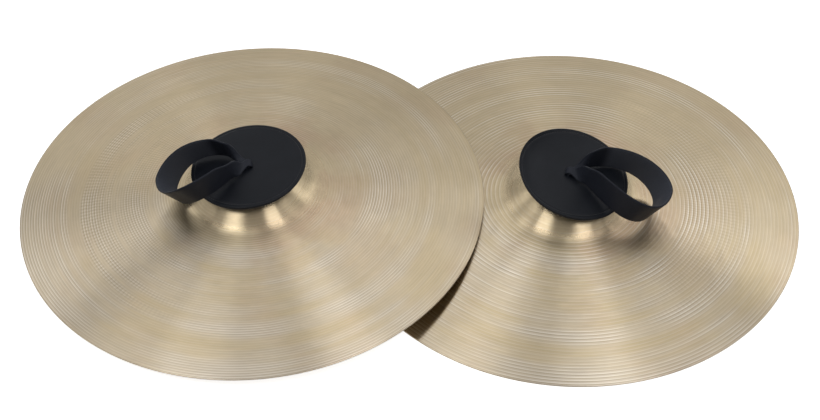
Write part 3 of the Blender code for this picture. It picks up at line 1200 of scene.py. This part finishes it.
@dataclass(frozen=True)
class Studio:
    """The camera at the photographed angle, a pale floor, a soft fill and soft lamps."""

    plate_offset: float
    plate_radius: float
    camera_at: tuple[float, float, float] = (-32.0 * MM, -1658.0 * MM, 1689.4 * MM)
    yaw: float = math.radians(1.11)
    pitch: float = math.radians(45.543)
    roll: float = math.radians(0.778)
    focal_pixels: float = 2149.6
    image_width: int = 820
    sensor: float = 36.0
    sight: float = 50.0
    floor_size: float = 12.0
    floor_drop: float = 0.2 * MM
    floor_colour: tuple[float, float, float] = (0.8, 0.8, 0.8)
    floor_glow: float = 0.8
    shaded_share: float = 0.3
    shade_band: tuple[float, float] = (1.0, 1.6)
    sky: float = 0.62
    horizon: float = 0.2
    horizon_band: tuple[float, float] = (0.0, 0.5)
    front: float = 0.4
    front_band: tuple[float, float] = (-0.75, -0.1)
    lamps: tuple[Softbox, ...] = (
        Softbox("right_back", 30.0, 36.0, 0.7, 1.2),
        Softbox("right_back_inner", 50.0, 36.0, 0.7, 0.8),
        Softbox("back_right", 70.0, 36.0, 0.7, 0.24),
        Softbox("back_left", 110.0, 36.0, 0.7, 0.22),
        Softbox("left_back", 146.0, 38.0, 0.7, 0.75),
        Softbox("left_high", 168.0, 58.0, 0.7, 1.0),
        Softbox("right_high", 0.0, 58.0, 0.7, 0.5),
        Softbox("back_high_right", 48.0, 58.0, 0.7, 0.26),
        Softbox("back_high_inner", 72.0, 58.0, 0.7, 0.36),
        Softbox("back_high", 96.0, 58.0, 0.7, 0.61),
        Softbox("left_front_high", 218.0, 57.0, 0.8, 3.0),
        Softbox("right_front_high", 312.0, 57.0, 0.8, 2.8),
        Softbox("top_right", 0.0, 78.0, 0.6, 1.5),
        Softbox("top_left", 180.0, 78.0, 0.6, 0.65),
    )

    def build_camera(self) -> None:
        """The camera, aimed by yaw, pitch and roll."""
        lens = bpy.data.cameras.new("camera")
        lens.sensor_width = self.sensor
        lens.lens = self.focal_pixels / self.image_width * self.sensor
        lens.clip_end = self.sight
        made = bpy.data.objects.new("camera", lens)
        bpy.context.scene.collection.objects.link(made)
        level = math.cos(self.pitch)
        forward = Vector((math.sin(self.yaw) * level, math.cos(self.yaw) * level, -math.sin(self.pitch)))
        right = Vector((math.cos(self.yaw), -math.sin(self.yaw), 0.0))
        up = right.cross(forward)
        rolled = right * math.cos(self.roll) + up * math.sin(self.roll)
        above = up * math.cos(self.roll) - right * math.sin(self.roll)
        turn = Matrix((rolled, above, -forward)).transposed().to_4x4()
        made.matrix_world = Matrix.Translation(self.camera_at) @ turn
        bpy.context.scene.camera = made

    def build_floor(self) -> None:
        """A pale floor that looks white and keeps a faint shadow. Under the plates its glow, as metal sees
        it, is dimmed: painted shade.
        """
        made, shader = new_material("pale_floor")
        half = self.floor_size / 2.0
        corners = half * np.array(((-1.0, -1.0, 0.0), (1.0, -1.0, 0.0), (1.0, 1.0, 0.0), (-1.0, 1.0, 0.0)))
        corners[:, 2] = -self.floor_drop
        floor = make_piece("floor", corners, [[0, 1, 2, 3]], made)
        x, y = shader.split(shader.node("ShaderNodeTexCoord", {}, {}, "Object"))[:2]
        # Painted shade: the glow that metal sees is dimmed over the plates' footprints, where the floor lies
        # in shadow.
        aside = x.apply("ABSOLUTE") - self.plate_offset
        open_floor = ((aside * aside + y * y) ** 0.5 / self.plate_radius).step(*self.shade_band)
        shown = self.shaded_share + open_floor * (1.0 - self.shaded_share)
        in_metal = shader.ray("Is Glossy Ray") * shown
        seen = shader.ray("Is Camera Ray") + shader.ray("Is Transmission Ray") + in_metal
        diffuse = shader.node("ShaderNodeBsdfDiffuse", {}, {"Color": rgba(self.floor_colour)})
        glow = shader.node("ShaderNodeEmission", {}, {"Strength": seen * self.floor_glow})
        both = shader.node("ShaderNodeAddShader", {}, {0: diffuse, 1: glow})
        shader.node("ShaderNodeOutputMaterial", {}, {"Surface": both})

    def build_world(self) -> None:
        """A white surround to the camera. Metal shows the fill, weaker at the horizon and at the front."""
        world = bpy.data.worlds.new("studio")
        world.use_nodes = True
        bpy.context.scene.world = world
        shader = Shader(world.node_tree)
        seen = shader.ray("Is Camera Ray") + shader.ray("Is Transmission Ray")
        depth, rise = shader.split(shader.node("ShaderNodeTexCoord", {}, {}, "Generated"))[1:]
        above = rise.step(*self.horizon_band) * (1.0 - self.horizon) + self.horizon
        behind = depth.step(*self.front_band) * (1.0 - self.front) + self.front
        strength = seen + (1.0 - seen) * above * behind * self.sky
        white = rgba((1.0, 1.0, 1.0))
        light = shader.node("ShaderNodeBackground", {}, {"Color": white, "Strength": strength})
        shader.node("ShaderNodeOutputWorld", {}, {"Surface": light})

    def build(self) -> None:
        """Camera, floor, world and lamps."""
        self.build_camera()
        self.build_floor()
        self.build_world()
        for lamp in self.lamps:
            lamp.build()
        bpy.context.scene.view_settings.view_transform = "Standard"


def placement_of(side: Side) -> Placement:
    """Where a cymbal lies, from its strap's turning axis and its rim's radius.

    Args:
        side: The cymbal.

    Returns:
        Its rim circle's centre and its lean.
    """
    joint = joint_named(side.value + "_strap_turn")
    axis = joint["axis"]
    lean = math.atan2(-axis[0], axis[2])
    height = CymbalPlate.rim_radius * math.sin(lean)
    return Placement((joint["pos_m"][0], 0.0, height), lean)


def heading_of(side: Side) -> float:
    """Heading of a strap's loop in its cymbal's frame, from the axis it folds about."""
    axis = joint_named(side.value + "_loop_fold")["axis"]
    return math.atan2(math.copysign(math.hypot(axis[0], axis[2]), axis[0]), -axis[1])


def main() -> None:
    """Builds both cymbals with their pads and straps, and the studio around them."""
    logging.basicConfig(level=logging.INFO, format="%(name)s %(message)s")
    lower, upper = placement_of(Side.LOWER), placement_of(Side.UPPER)
    plates = (
        CymbalPlate(Side.LOWER, lower, ring_pitch_inner=5.1 * MM, ring_pitch_outer=3.75 * MM, seed=3),
        CymbalPlate(Side.UPPER, upper, ring_pitch_inner=2.9 * MM, ring_pitch_outer=2.95 * MM, seed=8),
    )
    pads = (
        Pad(Side.LOWER, lower, all_round=-1.2 * MM, droop=16.4 * MM, low_side=math.radians(-23.5),
            shift=(3.5 * MM, -0.4 * MM)),
        Pad(Side.UPPER, upper, all_round=3.5 * MM, droop=5.0 * MM, low_side=math.radians(190.0),
            shift=(-0.2 * MM, 3.9 * MM)),
    )
    straps = (
        HandStrap(Side.LOWER, lower, heading_of(Side.LOWER), length=102.5 * MM, far_spread=33.5 * MM,
                  near_spread=58.3 * MM, far_power=1.0, near_power=1.45, tip_height=27.9 * MM, sag_power=1.95,
                  tip_lean=math.radians(37.6), back_lean=math.radians(-1.1), mirrored=False),
        HandStrap(Side.UPPER, upper, heading_of(Side.UPPER), length=89.5 * MM, far_spread=22.1 * MM,
                  near_spread=54.8 * MM, far_power=0.5, near_power=1.06, tip_height=29.6 * MM, sag_power=3.9,
                  tip_lean=math.radians(41.6), back_lean=math.radians(-10.7), mirrored=True),
    )
    bronzes = (TurnedBronze(line_strength=1.0, chatter_strength=0.22),
               TurnedBronze(line_strength=0.85, chatter_side=math.pi))
    felt, thread = WoolFelt(), WaxedThread()
    pad_leather = BlackLeather()
    tail_leather = BlackLeather(black=(0.018, 0.0205, 0.029), worn=(0.024, 0.027, 0.036), roughness=0.42,
                                gloss=0.12, grain=0.7 * MM, grain_depth=0.025 * MM)
    loop_leather = replace(tail_leather, has_flesh_side_and_painted_light=True)
    pieces = [plate.build(bronze) for plate, bronze in zip(plates, bronzes)]
    for pad in pads:
        pieces += pad.build(pad_leather, felt, thread)
    for strap in straps:
        pieces.append(strap.build_loop(loop_leather))
        pieces += strap.build_tails(tail_leather)
    Studio(plate_offset=lower.centre[0], plate_radius=CymbalPlate.rim_radius).build()
    for piece in pieces:
        report(piece)


if __name__ == "__main__":
    main()
